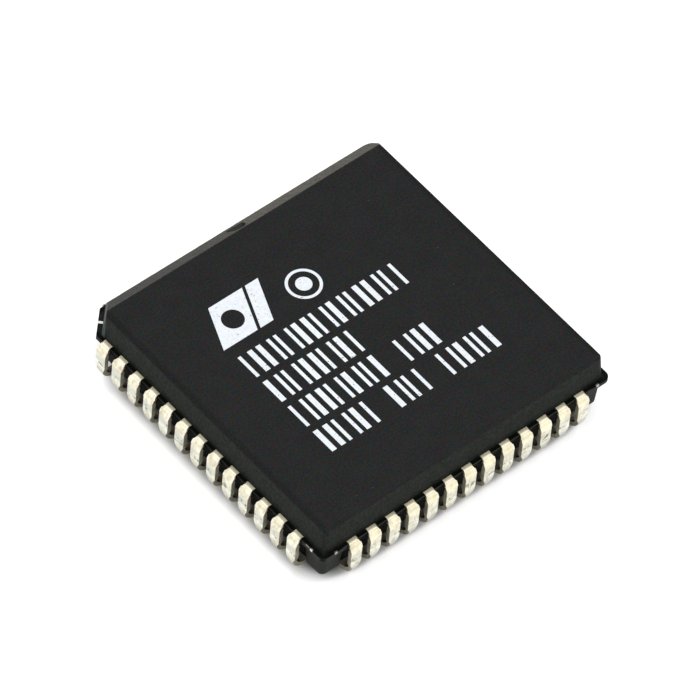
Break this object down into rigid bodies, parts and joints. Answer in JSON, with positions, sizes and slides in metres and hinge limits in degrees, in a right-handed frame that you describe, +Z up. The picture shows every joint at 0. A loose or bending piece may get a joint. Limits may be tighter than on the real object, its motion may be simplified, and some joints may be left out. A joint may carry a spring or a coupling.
{
  "type": "leaded chip carrier",
  "caption": "Square moulded chip package with J-bent leads on all four sides, a cut corner, a sloped edge with an orientation notch and a plain printed marking.",
  "frame": {"origin": "middle of the footprint on the seating plane, where the leads touch the board", "axes": "+Z up from the board; +X along the marking's reading direction; +Y towards the side with the orientation notch and the first lead"},
  "size_m": [0.02, 0.02, 0.0042],
  "materials": {
    "resin": "fine matte grain",
    "lead_tin": "matte tin, drawn along the lead",
    "frame_copper": "satin",
    "adhesive": "matte",
    "silicon": "polished",
    "gold": "bright drawn wire",
    "ink": "flat"
  },
  "bodies": {
    "root": {"moulded_body": "resin", "lead_01": "lead_tin", "lead_02": "lead_tin", "lead_03": "lead_tin", "lead_04": "lead_tin", "lead_05": "lead_tin", "lead_06": "lead_tin", "lead_07": "lead_tin", "lead_08": "lead_tin", "lead_09": "lead_tin", "lead_10": "lead_tin", "lead_11": "lead_tin", "lead_12": "lead_tin", "lead_13": "lead_tin", "lead_14": "lead_tin", "lead_15": "lead_tin", "lead_16": "lead_tin", "lead_17": "lead_tin", "lead_18": "lead_tin", "lead_19": "lead_tin", "lead_20": "lead_tin", "lead_21": "lead_tin", "lead_22": "lead_tin", "lead_23": "lead_tin", "lead_24": "lead_tin", "lead_25": "lead_tin", "lead_26": "lead_tin", "lead_27": "lead_tin", "lead_28": "lead_tin", "lead_29": "lead_tin", "lead_30": "lead_tin", "lead_31": "lead_tin", "lead_32": "lead_tin", "lead_33": "lead_tin", "lead_34": "lead_tin", "lead_35": "lead_tin", "lead_36": "lead_tin", "lead_37": "lead_tin", "lead_38": "lead_tin", "lead_39": "lead_tin", "lead_40": "lead_tin", "lead_41": "lead_tin", "lead_42": "lead_tin", "lead_43": "lead_tin", "lead_44": "lead_tin", "lead_45": "lead_tin", "lead_46": "lead_tin", "lead_47": "lead_tin", "lead_48": "lead_tin", "lead_49": "lead_tin", "lead_50": "lead_tin", "lead_51": "lead_tin", "lead_52": "lead_tin", "die_pad": "frame_copper", "die_attach": "adhesive", "silicon_die": "silicon", "bond_wires": "gold", "ink_marking": "ink"}
  },
  "joints": []
}
